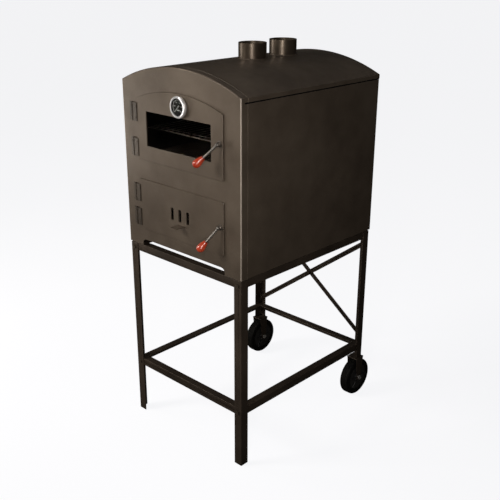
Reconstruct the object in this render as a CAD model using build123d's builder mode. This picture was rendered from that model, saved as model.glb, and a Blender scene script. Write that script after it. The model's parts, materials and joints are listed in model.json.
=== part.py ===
from build123d import *
import os
from math import cos, radians, sin, sqrt

# Wood fired oven with a firebox below, a baking chamber above, and a bolted angle-iron stand.
# Millimetres. +Z is up, the doors face -Y, and +X is to the right of someone facing the doors.
# The origin is on the floor, in the middle of the whole object's width and depth.

# ---------------------------------------------------------------- overall sizes
casing_width = 600
casing_depth = 750
side_height = 620  # straight side of the casing, below the arch
arch_rise = 67
stand_height = 750
reveal = 5  # gap between the stand and the casing

# ---------------------------------------------------------------- casing
sheet = 2
bend_radius = 4
plate_return = 30  # how far the front plate is folded back
seam = 2  # open joint between the front plate and the panels behind it
lap = 12  # how far a panel's joggled edge runs under the panel beside it
roof_lip = 15
panel_flange = 25
rear_flange = 20
floor_rise = 30  # casing edge to the floor panel
notch_half = 221
notch_height = 25
notch_radius = 18

# ---------------------------------------------------------------- firebox, smoke jacket and chamber
liner = 2
side_insulation_gap = 35  # casing side to the inside of the smoke jacket
roof_insulation_gap = 50
rear_insulation_gap = 34
insulation_slack = 3
insulation_collar_gap = 1
smoke_gap_side = 27
smoke_gap_rear = 60
chamber_headroom = 3  # chamber roof above the door opening
bearer_height = 30
bearer_thick = 6
stone_thick = 15
stone_gap = 2
stone_margin = 4
stone_chamfer = 1.5
grate_width = 400
grate_depth = 520
grate_thick = 10
grate_bar = 12
grate_bar_count = 11
grate_clearance = 36  # firebox floor to the grate's underside
grate_bearer_thick = 5

# ---------------------------------------------------------------- doors
door_width = 444
door_thick = 3
door_gap = 2  # thickness of the squeezed gasket
door_overlap = 8
door_corner = 6
door_edge_chamfer = 0.8
upper_door_base = 338  # above the casing's lower edge
upper_door_crown = 85  # below the top of the arch
lower_door_base = 71
lower_door_height = 194
gasket_width = 6
gasket_inset = 1

# ---------------------------------------------------------------- window in the upper door
window_width = 332
window_height = 126
window_base = 56  # above the upper door's lower edge
glass_overlap = 12
glass_thick = 4
glass_play = 0.5
retainer_border = 10
retainer_lip = 2
retainer_sight = 2
retainer_screw_radius = 2
retainer_screw_head_radius = 3.5
retainer_screw_head_thick = 2
retainer_screw_bite = 2

# ---------------------------------------------------------------- thermometer
gauge_x = 17.5
gauge_height = 220.5  # above the upper door's lower edge
gauge_case_radius = 34
gauge_case_depth = 7
gauge_bezel_radius = 38
gauge_bezel_round = 3.5
gauge_sight_radius = 30
gauge_dial_thick = 1
gauge_air = 3
gauge_lens_thick = 1.5
gauge_lip = 1.5
gauge_stem_radius = 3
gauge_stem_length = 60
gauge_nut_radius = 8
gauge_nut_thick = 5
needle_length = 24
needle_tail = 9
needle_width = 2
needle_thick = 0.8
needle_hub_radius = 3
spindle_radius = 1
needle_rest_angle = 225  # anticlockwise from +X, seen from the front

# ---------------------------------------------------------------- hinges
hinge_length = 66
hinge_knuckles = 5
knuckle_gap = 0.4
knuckle_radius = 4.5
hinge_pin_radius = 2.5
hinge_pin_head_radius = 4
hinge_pin_head_thick = 2
leaf_thick = 2.5
hinge_setback = 18  # hinge pin to the door's edge
frame_leaf_width = 19
door_leaf_lap = 7
leaf_play = 0.5
upper_hinge_heights = (44, 173)  # above the door's lower edge
lower_hinge_heights = (44, 138)

# ---------------------------------------------------------------- latches
latch_inset = 15  # shaft to the door's free edge
latch_shaft_radius = 4
latch_washer_radius = 11
latch_washer_thick = 2
latch_sleeve_radius = 7.5
lever_start = 11  # door face to where the lever leaves the sleeve
lever_rod_radius = 4
lever_rod_length = 63
lever_rod_in_grip = 25
lever_outward = 35
lever_across = 63
grip_radius = 14.5
grip_length = 45
grip_neck_radius = 8
tongue_length = 26
tongue_width = 9
tongue_thick = 4
tongue_heel = 8
tongue_gap = 0.4
upper_latch_height = 123  # above the door's lower edge
lower_latch_height = 103
upper_lever_lean = 39  # degrees from straight down, towards the hinges
lower_lever_lean = 30

# ---------------------------------------------------------------- air shutter in the lower door
vent_width = 15
vent_length = 46
vent_pitch = 41
vent_count = 3
vent_corner = 4
vent_height = 95  # middle of the vents above the door's lower edge
shutter_thick = 1.5
shutter_travel = 20
shutter_margin = 8
shutter_play = 0.2
shutter_guide_width = 7
shutter_guide_lap = 3
tab_x = 5
tab_width = 31
tab_thick = 2.5
tab_length = 40
tab_corner = 5
tab_drop = 13  # below the vents
tab_play = 1  # between the tab and its slot

# ---------------------------------------------------------------- rack and ash pan
rack_height = 102  # rail above the chamber floor
rack_rail_width = 15
rack_rail_start = 30
rack_play = 3
rack_frame_radius = 3
rack_wire_radius = 1.75
rack_wire_count = 15
rack_second_bar = 30  # behind the front bar
rack_setback = 57
rack_rear_gap = 40
pan_width = 360
pan_height = 25
pan_wall = 1.5
pan_setback = 40
pan_length = 520
pan_tab_width = 60
pan_tab_reach = 18
pan_tab_thick = 3

# ---------------------------------------------------------------- flue collars
collar_bore_radius = 50
collar_wall = 2
collar_height = 56
collar_dip = 7  # how far a collar's lower end reaches into the space that it draws from
rear_collar_from_back = 212
collar_pitch = 168

# ---------------------------------------------------------------- stand
stand_inset = 3
leg_size = 35
leg_thick = 3
rail_size = 30
rail_thick = 3
lower_rail_height = 243  # top face above the floor
runner_width = 24
runner_inset = 2
bolt_radius = 4
bolt_head_flats = 13
bolt_head_thick = 5.3
nut_thick = 6.5
bolt_tail = 2
bolt_inset = 17  # leg's outer face to the bolt
brace_width = 20
brace_thick = 4
brace_rail_gap = 30  # rail's edge to a brace's bolt
brace_spacer_radius = 8

# ---------------------------------------------------------------- rear wheels
wheel_diameter = 160
wheel_width = 40
tyre_thick = 22
tyre_shoulder = 9
hub_dish = 4
hub_boss_radius = 16
hub_side_play = 0.5
axle_radius = 5
axle_head_flats = 17
axle_head_thick = 6.4
fork_thick = 3
fork_side_gap = 2
fork_clearance = 12
fork_plate_thick = 4
fork_plate_length = 50
fork_top_length = 46
fork_end_radius = 13

# ---------------------------------------------------------------- fits
running_clearance = 0.05  # radial, between a turning part and its bore

# ---------------------------------------------------------------- derived sizes
half_width = casing_width / 2
arch_radius = (half_width**2 + arch_rise**2) / (2 * arch_rise)
casing_z = stand_height + reveal
crown_z = casing_z + side_height + arch_rise
arch_centre_z = crown_z - arch_radius

door_half = door_width / 2
door_back = -door_gap
door_front = door_back - door_thick
upper_door_z = casing_z + upper_door_base
lower_door_z = casing_z + lower_door_base
upper_door_radius = arch_radius - upper_door_crown
upper_opening_radius = upper_door_radius - door_overlap
latch_x = door_half - latch_inset
latch_z = {"upper": upper_door_z + upper_latch_height, "lower": lower_door_z + lower_latch_height}

lever_length = sqrt(lever_outward**2 + lever_across**2)
grip_ball_at = lever_rod_length + grip_length - grip_radius
front_reach = -door_front + lever_start + grip_ball_at * lever_outward / lever_length + grip_radius
leg_centre_from_back = stand_inset + leg_size / 2
rear_reach = casing_depth - leg_centre_from_back + wheel_diameter / 2
face_y = (front_reach - rear_reach) / 2  # front plate's face
back_y = face_y + casing_depth

jacket_half = half_width - side_insulation_gap
jacket_radius = arch_radius - roof_insulation_gap
jacket_back_y = back_y - rear_insulation_gap
firebox_floor_z = lower_door_z + door_overlap
chamber_half = jacket_half - smoke_gap_side - liner
chamber_radius = upper_opening_radius + chamber_headroom
chamber_floor_z = upper_door_z
chamber_back_y = jacket_back_y - smoke_gap_rear

stand_half = half_width - stand_inset
stand_front_y = face_y + stand_inset
stand_back_y = back_y - stand_inset

os.makedirs("parts", exist_ok=True)


# ---------------------------------------------------------------- helpers
def finish(piece, name):
    """Label a finished piece and write it."""
    piece.part.label = name
    export_step(piece.part, f"parts/{name}.step")


def upright(y):
    """The upright plane at y, seen from the front: x to the right, z up, normal towards -Y."""
    return Plane(origin=(0, y, 0), x_dir=(1, 0, 0), z_dir=(0, -1, 0))


def block(x_span, y_span, z_span, mode=Mode.ADD):
    """A box between two values on each axis, in the part that is being built."""
    low = (min(x_span), min(y_span), min(z_span))
    high = (max(x_span), max(y_span), max(z_span))
    with Locations(tuple((a + b) / 2 for a, b in zip(low, high))):
        Box(high[0] - low[0], high[1] - low[1], high[2] - low[2], mode=mode)


def rod(start, end, radius, mode=Mode.ADD):
    """A round bar between two points, in the part that is being built."""
    run = Vector(*end) - Vector(*start)
    with BuildSketch(Plane(origin=start, z_dir=run.normalized())) as section:
        Circle(radius)
    extrude(section.sketch, amount=run.length, mode=mode)


def hexagon_bar(start, end, flats, bore=0):
    """A hexagonal bar between two points, such as a bolt's head or a nut."""
    run = Vector(*end) - Vector(*start)
    with BuildSketch(Plane(origin=start, z_dir=run.normalized())) as section:
        RegularPolygon(flats / 2, 6, major_radius=False)
        if bore:
            Circle(bore, mode=Mode.SUBTRACT)
    extrude(section.sketch, amount=run.length)


def arch_top_z(radius, x):
    """Height of a circle round the arch's centre, at x."""
    return arch_centre_z + sqrt(radius**2 - x**2)


def arch_face(half, low_z, radius):
    """An upright shape with a flat foot, straight sides and a top that follows the arch."""
    spring_z = arch_top_z(radius, half)
    with BuildLine() as outline:
        Polyline((half, spring_z), (half, low_z), (-half, low_z), (-half, spring_z))
        ThreePointArc((-half, spring_z), (0, arch_centre_z + radius), (half, spring_z))
    make_face(outline.edges())


def arch_block(half, low_z, radius, y_span, mode=Mode.ADD):
    """An arched shape between two values of y, in the part that is being built."""
    with BuildSketch(upright(y_span[0])) as section:
        arch_face(half, low_z, radius)
    extrude(section.sketch, amount=y_span[0] - y_span[1], mode=mode)


def door_outline(door, inset, y, corner=door_corner):
    """A door's outline at y, drawn in by a distance all round, with corners rounded unless corner is 0."""
    with BuildSketch(upright(y)) as outline:
        if door == "upper":
            arch_face(door_half - inset, upper_door_z + inset, upper_door_radius - inset)
        else:
            with Locations((0, lower_door_z + lower_door_height / 2)):
                Rectangle(door_width - 2 * inset, lower_door_height - 2 * inset)
        if corner:
            fillet(outline.vertices(), corner)
    return outline.sketch


# ---------------------------------------------------------------- front plate
plate_back_y = face_y + sheet
return_y = face_y + plate_return

with BuildPart() as front_plate:
    arch_block(half_width, casing_z, arch_radius, (face_y, return_y))
    face_edges = front_plate.faces().sort_by(Axis.Y)[0].edges()
    fillet(face_edges.filter_by(lambda edge: edge.center().Z > casing_z + bend_radius), bend_radius)
    arch_block(half_width - sheet, casing_z, arch_radius - sheet, (plate_back_y, return_y), Mode.SUBTRACT)
    for door in ("upper", "lower"):
        extrude(door_outline(door, door_overlap, face_y, 0), amount=-sheet, mode=Mode.SUBTRACT)
    with BuildSketch(upright(face_y)) as notch:
        with Locations((0, casing_z)):
            Rectangle(2 * notch_half, 2 * notch_height)
        fillet(notch.vertices(), notch_radius)
    extrude(notch.sketch, amount=-sheet, mode=Mode.SUBTRACT)
finish(front_plate, "front_plate")

# ---------------------------------------------------------------- side panels
panel_start_y = return_y + seam
panel_inner_x = half_width - sheet
lap_inner_x = panel_inner_x - sheet
lap_span = (plate_back_y, panel_start_y + lap)
panel_top_z = arch_top_z(arch_radius - sheet, half_width)
lap_top_z = arch_top_z(arch_radius - 3 * sheet, lap_inner_x)

for side, name in ((-1, "side_panel_left"), (1, "side_panel_right")):
    with BuildPart() as side_panel:
        block((side * panel_inner_x, side * half_width), (panel_start_y, back_y), (casing_z, panel_top_z))
        block((side * (half_width - panel_flange), side * half_width), (panel_start_y, back_y - sheet),
              (casing_z, casing_z + sheet))
        block((side * lap_inner_x, side * panel_inner_x), lap_span, (casing_z, lap_top_z))
        arch_block(panel_inner_x, casing_z + sheet, arch_radius - sheet, (back_y - sheet, back_y),
                   Mode.SUBTRACT)
    finish(side_panel, name)

# ---------------------------------------------------------------- roof sheet, with a lip over each side panel
lip_x = half_width + sheet
lip_low_z = casing_z + side_height - roof_lip
roof_lap_half = lap_inner_x - 2 * sheet
front_collar_y = back_y - rear_collar_from_back - collar_pitch
rear_collar_y = back_y - rear_collar_from_back
collar_radius = collar_bore_radius + collar_wall

with BuildPart() as roof_sheet:
    arch_block(lip_x, lip_low_z, arch_radius, (panel_start_y, back_y))
    arch_block(half_width, lip_low_z, arch_radius - sheet, (panel_start_y, back_y), Mode.SUBTRACT)
    with BuildSketch(upright(lap_span[0])) as lap_ring:
        arch_face(roof_lap_half, casing_z, arch_radius - sheet)
        with Locations((0, arch_centre_z)):
            Circle(arch_radius - 2 * sheet, mode=Mode.SUBTRACT)
    extrude(lap_ring.sketch, amount=lap_span[0] - lap_span[1])
    for collar_y in (front_collar_y, rear_collar_y):
        rod((0, collar_y, crown_z - arch_rise), (0, collar_y, crown_z + sheet), collar_radius, Mode.SUBTRACT)
finish(roof_sheet, "roof_sheet")

# ---------------------------------------------------------------- rear panel
with BuildPart() as rear_panel:
    arch_block(panel_inner_x, casing_z + sheet, arch_radius - sheet, (back_y - sheet - rear_flange, back_y))
    arch_block(lap_inner_x, casing_z, arch_radius - 2 * sheet, (back_y - sheet - rear_flange, back_y - sheet),
               Mode.SUBTRACT)
finish(rear_panel, "rear_panel")

# ---------------------------------------------------------------- floor panel under the insulation
floor_z = casing_z + floor_rise
floor_back_y = back_y - sheet - rear_flange

with BuildPart() as floor_panel:
    block((-panel_inner_x, panel_inner_x), (plate_back_y, floor_back_y), (floor_z, floor_z + sheet))
    for side in (-1, 1):
        block((side * lap_inner_x, side * panel_inner_x), (lap_span[1], floor_back_y),
              (casing_z + sheet, floor_z))
        block((side * lap_inner_x, side * panel_inner_x), lap_span, (floor_z, floor_z + sheet), Mode.SUBTRACT)
finish(floor_panel, "floor_panel")

# ---------------------------------------------------------------- smoke jacket, the shell round the fire
jacket_block = (jacket_half + liner, firebox_floor_z - liner, jacket_radius + liner,
                (plate_back_y, jacket_back_y + liner))

with BuildPart() as smoke_jacket:
    arch_block(*jacket_block)
    arch_block(jacket_half, firebox_floor_z, jacket_radius, (plate_back_y, jacket_back_y), Mode.SUBTRACT)
    for collar_y in (front_collar_y, rear_collar_y):
        rod((0, collar_y, chamber_floor_z), (0, collar_y, crown_z), collar_radius, Mode.SUBTRACT)
finish(smoke_jacket, "smoke_jacket")

# ---------------------------------------------------------------- insulation round the jacket
insulation_half = lap_inner_x - insulation_slack
insulation_radius = arch_radius - 2 * sheet - insulation_slack
insulation_low_z = floor_z + sheet
insulation_back_y = back_y - sheet - insulation_slack

with BuildPart() as insulation_blanket:
    arch_block(insulation_half, insulation_low_z, insulation_radius, (plate_back_y, insulation_back_y))
    arch_block(*jacket_block, Mode.SUBTRACT)
    for collar_y in (front_collar_y, rear_collar_y):
        rod((0, collar_y, chamber_floor_z), (0, collar_y, crown_z), collar_radius + insulation_collar_gap,
            Mode.SUBTRACT)
finish(insulation_blanket, "insulation_blanket")

# ---------------------------------------------------------------- baking chamber, on two bars
front_collar_low_z = arch_centre_z + chamber_radius - collar_dip

with BuildPart() as baking_chamber:
    arch_block(chamber_half + liner, chamber_floor_z - liner, chamber_radius + liner,
               (plate_back_y, chamber_back_y + liner))
    arch_block(chamber_half, chamber_floor_z, chamber_radius, (plate_back_y, chamber_back_y), Mode.SUBTRACT)
    rod((0, front_collar_y, front_collar_low_z), (0, front_collar_y, crown_z), collar_radius, Mode.SUBTRACT)
finish(baking_chamber, "baking_chamber")

bearer_top_z = chamber_floor_z - liner
chamber_length = chamber_back_y - plate_back_y

with BuildPart() as chamber_bearers:
    for share in (1 / 4, 3 / 4):
        bearer_y = plate_back_y + share * chamber_length
        block((-jacket_half, jacket_half), (bearer_y - bearer_thick / 2, bearer_y + bearer_thick / 2),
              (bearer_top_z - bearer_height, bearer_top_z))
finish(chamber_bearers, "chamber_bearers")

# ---------------------------------------------------------------- hearth stones
stone_width = chamber_half - stone_margin - stone_gap / 2
stone_length = (chamber_length - 2 * stone_margin - stone_gap) / 2
hearth_middle_y = plate_back_y + chamber_length / 2

with BuildPart() as hearth_stones:
    with BuildSketch(Plane.XY.offset(chamber_floor_z)):
        with Locations((0, hearth_middle_y)):
            with GridLocations(stone_width + stone_gap, stone_length + stone_gap, 2, 2):
                Rectangle(stone_width, stone_length)
    extrude(amount=stone_thick)
    chamfer(hearth_stones.edges().group_by(Axis.Z)[-1], stone_chamfer)
finish(hearth_stones, "hearth_stones")

# ---------------------------------------------------------------- rack rails and wire rack
rail_z = chamber_floor_z + rack_height
rack_start_y = plate_back_y + rack_setback
rack_end_y = chamber_back_y - rack_rear_gap
rack_z = rail_z + liner + rack_frame_radius
rack_half = chamber_half - liner - rack_play - rack_frame_radius

with BuildPart() as rack_rails:
    for side in (-1, 1):
        block((side * (chamber_half - rack_rail_width), side * chamber_half),
              (plate_back_y + rack_rail_start, chamber_back_y), (rail_z, rail_z + liner))
        block((side * (chamber_half - liner), side * chamber_half),
              (plate_back_y + rack_rail_start, chamber_back_y), (rail_z + liner, rail_z + rack_rail_width))
finish(rack_rails, "rack_rails")

cross_bars = ((rack_start_y, rack_frame_radius), (rack_start_y + rack_second_bar, rack_wire_radius),
              ((rack_start_y + rack_end_y) / 2, rack_frame_radius), (rack_end_y, rack_frame_radius))

with BuildPart() as oven_rack:
    for y, radius in cross_bars:
        rod((-rack_half, y, rack_z), (rack_half, y, rack_z), radius)
    for x in (-rack_half, rack_half):
        rod((x, rack_start_y, rack_z), (x, rack_end_y, rack_z), rack_frame_radius)
    for index in range(rack_wire_count):
        x = rack_half * (2 * (index + 1) / (rack_wire_count + 1) - 1)
        rod((x, rack_start_y, rack_z), (x, rack_end_y, rack_z), rack_wire_radius)
    with Locations([(x, y, rack_z) for x in (-rack_half, rack_half) for y in (rack_start_y, rack_end_y)]):
        Sphere(rack_frame_radius)
finish(oven_rack, "oven_rack")

# ---------------------------------------------------------------- grate, its bars' supports, and the ash pan
grate_low_z = firebox_floor_z + grate_clearance
grate_start_y = plate_back_y + (jacket_back_y - plate_back_y - grate_depth) / 2
grate_slot = (grate_width - grate_bar_count * grate_bar) / (grate_bar_count - 1)

with BuildPart() as grate_bearers:
    for y in (grate_start_y + grate_bar, grate_start_y + grate_depth - grate_bar):
        block((-jacket_half, jacket_half), (y - grate_bar, y + grate_bar),
              (grate_low_z - grate_bearer_thick, grate_low_z))
finish(grate_bearers, "grate_bearers")

with BuildPart() as fire_grate:
    with BuildSketch(Plane.XY.offset(grate_low_z)):
        with Locations((0, grate_start_y + grate_depth / 2)):
            Rectangle(grate_width, grate_depth)
            with GridLocations(grate_bar + grate_slot, (grate_depth - grate_bar) / 2, grate_bar_count - 1, 2):
                Rectangle(grate_slot, (grate_depth - 3 * grate_bar) / 2, mode=Mode.SUBTRACT)
    extrude(amount=grate_thick)
finish(fire_grate, "fire_grate")

pan_start_y = plate_back_y + pan_setback
pan_half = pan_width / 2

with BuildPart() as ash_pan:
    block((-pan_half, pan_half), (pan_start_y, pan_start_y + pan_length),
          (firebox_floor_z, firebox_floor_z + pan_height))
    offset(amount=-pan_wall, openings=ash_pan.faces().sort_by(Axis.Z)[-1])
    block((-pan_tab_width / 2, pan_tab_width / 2), (pan_start_y - pan_tab_reach, pan_start_y),
          (firebox_floor_z + pan_height / 2, firebox_floor_z + pan_height / 2 + pan_tab_thick))
finish(ash_pan, "ash_pan")

# ---------------------------------------------------------------- flue collars
collar_top_z = crown_z + collar_height
rear_collar_low_z = arch_centre_z + jacket_radius - collar_dip

for collar_y, low_z, name in ((front_collar_y, front_collar_low_z, "flue_collar_front"),
                              (rear_collar_y, rear_collar_low_z, "flue_collar_rear")):
    with BuildPart() as flue_collar:
        with BuildSketch(Plane.XY.offset(low_z)):
            with Locations((0, collar_y)):
                Circle(collar_radius)
                Circle(collar_bore_radius, mode=Mode.SUBTRACT)
        extrude(amount=collar_top_z - low_z)
    finish(flue_collar, name)

# ---------------------------------------------------------------- hinges
hinge_x = -door_half - hinge_setback
hinge_y = face_y + door_front
leaf_start = knuckle_radius + leaf_play  # hinge pin to each leaf's near edge
segment = hinge_length / hinge_knuckles
hinge_zs = {"upper": [upper_door_z + height for height in upper_hinge_heights],
            "lower": [lower_door_z + height for height in lower_hinge_heights]}
all_hinge_zs = hinge_zs["upper"] + hinge_zs["lower"]


def knuckle_spans(middle_z, first):
    """Heights of every second knuckle of a hinge, from the given one up."""
    low_z = middle_z - hinge_length / 2
    for index in range(first, hinge_knuckles, 2):
        yield (low_z + index * segment + knuckle_gap / 2, low_z + (index + 1) * segment - knuckle_gap / 2)


with BuildPart() as hinge_frame_leaves:
    for middle_z in all_hinge_zs:
        block((hinge_x - frame_leaf_width, hinge_x - leaf_start), (face_y - leaf_thick, face_y),
              (middle_z - hinge_length / 2, middle_z + hinge_length / 2))
        for z_span in knuckle_spans(middle_z, 0):
            rod((hinge_x, hinge_y, z_span[0]), (hinge_x, hinge_y, z_span[1]), knuckle_radius)
            block((hinge_x - leaf_start, hinge_x - knuckle_radius / 2), (hinge_y, face_y), z_span)
            rod((hinge_x, hinge_y, z_span[0]), (hinge_x, hinge_y, z_span[1]), hinge_pin_radius, Mode.SUBTRACT)
finish(hinge_frame_leaves, "hinge_frame_leaves")

with BuildPart() as hinge_pins:
    for middle_z in all_hinge_zs:
        low = (hinge_x, hinge_y, middle_z - hinge_length / 2 + knuckle_gap / 2)
        high = (hinge_x, hinge_y, middle_z + hinge_length / 2 - knuckle_gap / 2)
        rod(low, high, hinge_pin_radius)
        rod(high, (hinge_x, hinge_y, high[2] + hinge_pin_head_thick), hinge_pin_head_radius)
finish(hinge_pins, "hinge_pins")

for door in ("upper", "lower"):
    with BuildPart() as hinge_leaves:
        for middle_z in hinge_zs[door]:
            block((hinge_x + leaf_start, -door_half + door_leaf_lap), (hinge_y - leaf_thick, hinge_y),
                  (middle_z - hinge_length / 2, middle_z + hinge_length / 2))
            for z_span in knuckle_spans(middle_z, 1):
                rod((hinge_x, hinge_y, z_span[0]), (hinge_x, hinge_y, z_span[1]), knuckle_radius)
                block((hinge_x, hinge_x + leaf_start), (hinge_y - leaf_thick, hinge_y), z_span)
                rod((hinge_x, hinge_y, z_span[0]), (hinge_x, hinge_y, z_span[1]),
                    hinge_pin_radius + running_clearance, Mode.SUBTRACT)
    finish(hinge_leaves, f"{door}_hinge_leaves")

# ---------------------------------------------------------------- upper door
door_front_y = face_y + door_front
door_back_y = face_y + door_back
window_z = upper_door_z + window_base + window_height / 2
glass_width = window_width + 2 * glass_overlap
glass_height = window_height + 2 * glass_overlap
pocket_width = glass_width + 2 * glass_play
pocket_height = glass_height + 2 * glass_play
retainer_width = pocket_width + 2 * retainer_border
retainer_height = pocket_height + 2 * retainer_border
retainer_back_y = door_back_y + glass_thick + retainer_lip
gauge_z = upper_door_z + gauge_height
screw_bite_y = door_back_y - retainer_screw_bite
screw_reach_x = (retainer_width - retainer_border) / 2
screw_reach_z = (retainer_height - retainer_border) / 2
screw_xs = (-screw_reach_x, 0, screw_reach_x)
screw_zs = (window_z - screw_reach_z, window_z + screw_reach_z)
screw_places = [(x, z) for x in screw_xs for z in screw_zs] + [(x, window_z) for x in screw_xs[::2]]


def latch_hole(door):
    """Bore a door for its latch's shaft."""
    rod((latch_x, door_front_y, latch_z[door]), (latch_x, door_back_y, latch_z[door]),
        latch_shaft_radius + running_clearance, Mode.SUBTRACT)


with BuildPart() as upper_door_panel:
    extrude(door_outline("upper", 0, door_front_y), amount=-door_thick)
    chamfer(upper_door_panel.faces().sort_by(Axis.Y)[0].edges(), door_edge_chamfer)
    block((-window_width / 2, window_width / 2), (door_front_y, door_back_y),
          (window_z - window_height / 2, window_z + window_height / 2), Mode.SUBTRACT)
    latch_hole("upper")
    rod((gauge_x, door_front_y, gauge_z), (gauge_x, door_back_y, gauge_z), gauge_stem_radius, Mode.SUBTRACT)
    for x, z in screw_places:
        rod((x, screw_bite_y, z), (x, door_back_y, z), retainer_screw_radius, Mode.SUBTRACT)
finish(upper_door_panel, "upper_door_panel")

with BuildPart() as window_glass:
    block((-glass_width / 2, glass_width / 2), (door_back_y, door_back_y + glass_thick),
          (window_z - glass_height / 2, window_z + glass_height / 2))
finish(window_glass, "window_glass")

with BuildPart() as glass_retainer:
    with BuildSketch(upright(door_back_y)) as retainer_face:
        with Locations((0, window_z)):
            Rectangle(retainer_width, retainer_height)
            Rectangle(window_width + 2 * retainer_sight, window_height + 2 * retainer_sight,
                      mode=Mode.SUBTRACT)
        with Locations(screw_places):
            Circle(retainer_screw_radius, mode=Mode.SUBTRACT)
    extrude(retainer_face.sketch, amount=door_back_y - retainer_back_y)
    block((-pocket_width / 2, pocket_width / 2), (door_back_y, door_back_y + glass_thick),
          (window_z - pocket_height / 2, window_z + pocket_height / 2), Mode.SUBTRACT)
finish(glass_retainer, "glass_retainer")

with BuildPart() as retainer_screws:
    for x, z in screw_places:
        rod((x, screw_bite_y, z), (x, retainer_back_y, z), retainer_screw_radius)
        rod((x, retainer_back_y, z), (x, retainer_back_y + retainer_screw_head_thick, z),
            retainer_screw_head_radius)
finish(retainer_screws, "retainer_screws")

for door in ("upper", "lower"):
    with BuildPart() as gasket:
        extrude(door_outline(door, gasket_inset, door_back_y), amount=-door_gap)
        inner = door_outline(door, gasket_inset + gasket_width, door_back_y)
        extrude(inner, amount=-door_gap, mode=Mode.SUBTRACT)
    finish(gasket, f"{door}_door_gasket")

# ---------------------------------------------------------------- thermometer on the upper door
case_front_y = door_front_y - gauge_case_depth
dial_front_y = case_front_y - gauge_dial_thick
lens_back_y = dial_front_y - gauge_air
lens_front_y = lens_back_y - gauge_lens_thick
bezel_front_y = lens_front_y - gauge_lip
needle_back_y = dial_front_y - (gauge_air - needle_thick) / 2
needle_front_y = needle_back_y - needle_thick
spindle_seat_y = case_front_y + gauge_case_depth / 2
needle_turn = radians(needle_rest_angle)
needle_plane = Plane(origin=(gauge_x, needle_front_y, gauge_z), x_dir=(cos(needle_turn), 0, sin(needle_turn)),
                     z_dir=(0, -1, 0))

with BuildPart() as thermometer_case:
    rod((gauge_x, door_front_y, gauge_z), (gauge_x, case_front_y, gauge_z), gauge_case_radius)
    rod((gauge_x, spindle_seat_y, gauge_z), (gauge_x, case_front_y, gauge_z),
        spindle_radius + running_clearance, Mode.SUBTRACT)
finish(thermometer_case, "thermometer_case")

with BuildPart() as thermometer_dial:
    rod((gauge_x, case_front_y, gauge_z), (gauge_x, dial_front_y, gauge_z), gauge_case_radius)
    rod((gauge_x, case_front_y, gauge_z), (gauge_x, dial_front_y, gauge_z),
        spindle_radius + running_clearance, Mode.SUBTRACT)
finish(thermometer_dial, "thermometer_dial")

with BuildPart() as thermometer_lens:
    rod((gauge_x, lens_back_y, gauge_z), (gauge_x, lens_front_y, gauge_z), gauge_case_radius)
finish(thermometer_lens, "thermometer_lens")

with BuildPart() as thermometer_bezel:
    rod((gauge_x, door_front_y - gauge_case_depth / 2, gauge_z), (gauge_x, bezel_front_y, gauge_z),
        gauge_bezel_radius)
    fillet(thermometer_bezel.edges().filter_by(GeomType.CIRCLE).sort_by(Axis.Y)[0], gauge_bezel_round)
    rod((gauge_x, door_front_y, gauge_z), (gauge_x, lens_front_y, gauge_z), gauge_case_radius, Mode.SUBTRACT)
    rod((gauge_x, lens_front_y, gauge_z), (gauge_x, bezel_front_y, gauge_z), gauge_sight_radius,
        Mode.SUBTRACT)
finish(thermometer_bezel, "thermometer_bezel")

with BuildPart() as thermometer_stem:
    rod((gauge_x, door_front_y, gauge_z), (gauge_x, door_back_y + gauge_stem_length, gauge_z),
        gauge_stem_radius)
    hexagon_bar((gauge_x, door_back_y, gauge_z), (gauge_x, door_back_y + gauge_nut_thick, gauge_z),
                2 * gauge_nut_radius)
finish(thermometer_stem, "thermometer_stem")

with BuildPart() as thermometer_needle:
    with BuildSketch(needle_plane) as needle_face:
        with BuildLine() as needle_outline:
            Polyline((-needle_tail, -needle_width), (needle_length, 0), (-needle_tail, needle_width),
                     close=True)
        make_face(needle_outline.edges())
        Circle(needle_hub_radius)
    extrude(needle_face.sketch, amount=-needle_thick)
    rod((gauge_x, needle_back_y, gauge_z), (gauge_x, spindle_seat_y, gauge_z), spindle_radius)
finish(thermometer_needle, "thermometer_needle")

# ---------------------------------------------------------------- latches: shaft, bent lever, tongue and grip
lever_lean = {"upper": upper_lever_lean, "lower": lower_lever_lean}
washer_front_y = door_front_y - latch_washer_thick
lever_start_y = door_front_y - lever_start
tongue_front_y = plate_back_y + tongue_gap
tongue_back_y = tongue_front_y + tongue_thick

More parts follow.
